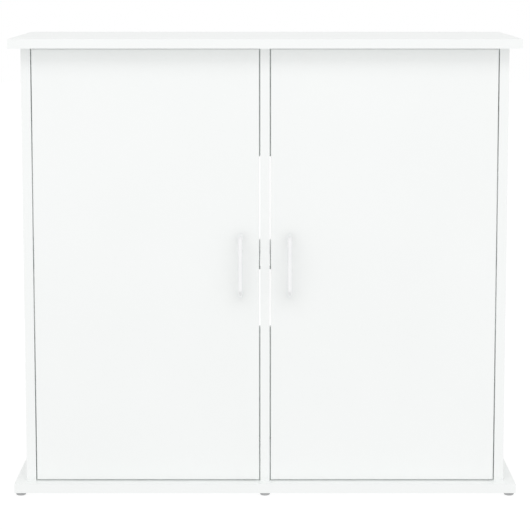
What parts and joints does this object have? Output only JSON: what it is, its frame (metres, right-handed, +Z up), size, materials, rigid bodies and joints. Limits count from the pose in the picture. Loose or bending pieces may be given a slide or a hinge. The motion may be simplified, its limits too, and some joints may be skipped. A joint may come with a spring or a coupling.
{
  "type": "aquarium stand cabinet",
  "caption": "White board aquarium stand with overhanging top and base, two inset doors on concealed hinges, bow handles, a divider, shelves and an open back for hoses and cables.",
  "frame": {"origin": "on the floor under the middle of the top board", "axes": "+X right seen from the front, -Y towards the front with the doors, +Z up"},
  "size_m": [0.81, 0.36, 0.735],
  "materials": {
    "white_board": "white melamine-faced chipboard with white edge banding, satin",
    "handle_metal": "satin chrome rod",
    "hinge_metal": "nickel-plated die-cast zinc, satin",
    "fastener_steel": "zinc-plated steel",
    "glide_plastic": "grey moulded plastic, matt",
    "dowel_wood": "plain beech"
  },
  "bodies": {
    "cabinet": {"top_panel": "white_board", "base_panel": "white_board", "left_side_panel": "white_board", "right_side_panel": "white_board", "centre_divider": "white_board", "upper_back_rail": "white_board", "lower_back_rail": "white_board", "left_shelf": "white_board", "right_shelf": "white_board", "left_upper_hinge_arm": "hinge_metal", "left_lower_hinge_arm": "hinge_metal", "right_upper_hinge_arm": "hinge_metal", "right_lower_hinge_arm": "hinge_metal", "left_upper_mounting_plate": "hinge_metal", "left_lower_mounting_plate": "hinge_metal", "right_upper_mounting_plate": "hinge_metal", "right_lower_mounting_plate": "hinge_metal", "left_plate_screws": "fastener_steel", "right_plate_screws": "fastener_steel", "left_arm_screws": "fastener_steel", "right_arm_screws": "fastener_steel", "left_shelf_pins": "fastener_steel", "right_shelf_pins": "fastener_steel", "foot_nails": "fastener_steel", "cam_locks": "fastener_steel", "cam_bolts": "fastener_steel", "front_left_foot": "glide_plastic", "front_middle_foot": "glide_plastic", "front_right_foot": "glide_plastic", "rear_left_foot": "glide_plastic", "rear_middle_foot": "glide_plastic", "rear_right_foot": "glide_plastic", "dowels": "dowel_wood"},
    "left_leaf": {"left_door": "white_board", "left_handle": "handle_metal", "left_handle_screws": "fastener_steel", "left_upper_hinge_cup": "hinge_metal", "left_lower_hinge_cup": "hinge_metal", "left_hinge_pins": "fastener_steel", "left_cup_screws": "fastener_steel"},
    "right_leaf": {"right_door": "white_board", "right_handle": "handle_metal", "right_handle_screws": "fastener_steel", "right_upper_hinge_cup": "hinge_metal", "right_lower_hinge_cup": "hinge_metal", "right_hinge_pins": "fastener_steel", "right_cup_screws": "fastener_steel"}
  },
  "joints": [
    {"name": "left_door_hinge", "type": "hinge", "parent": "cabinet", "child": "left_leaf", "pos_m": [-0.351, -0.1476, 0.37], "axis": [0, 0, -1], "range_deg": [0, 95]},
    {"name": "right_door_hinge", "type": "hinge", "parent": "cabinet", "child": "right_leaf", "pos_m": [0.351, -0.1476, 0.37], "axis": [0, 0, 1], "range_deg": [0, 95]}
  ]
}
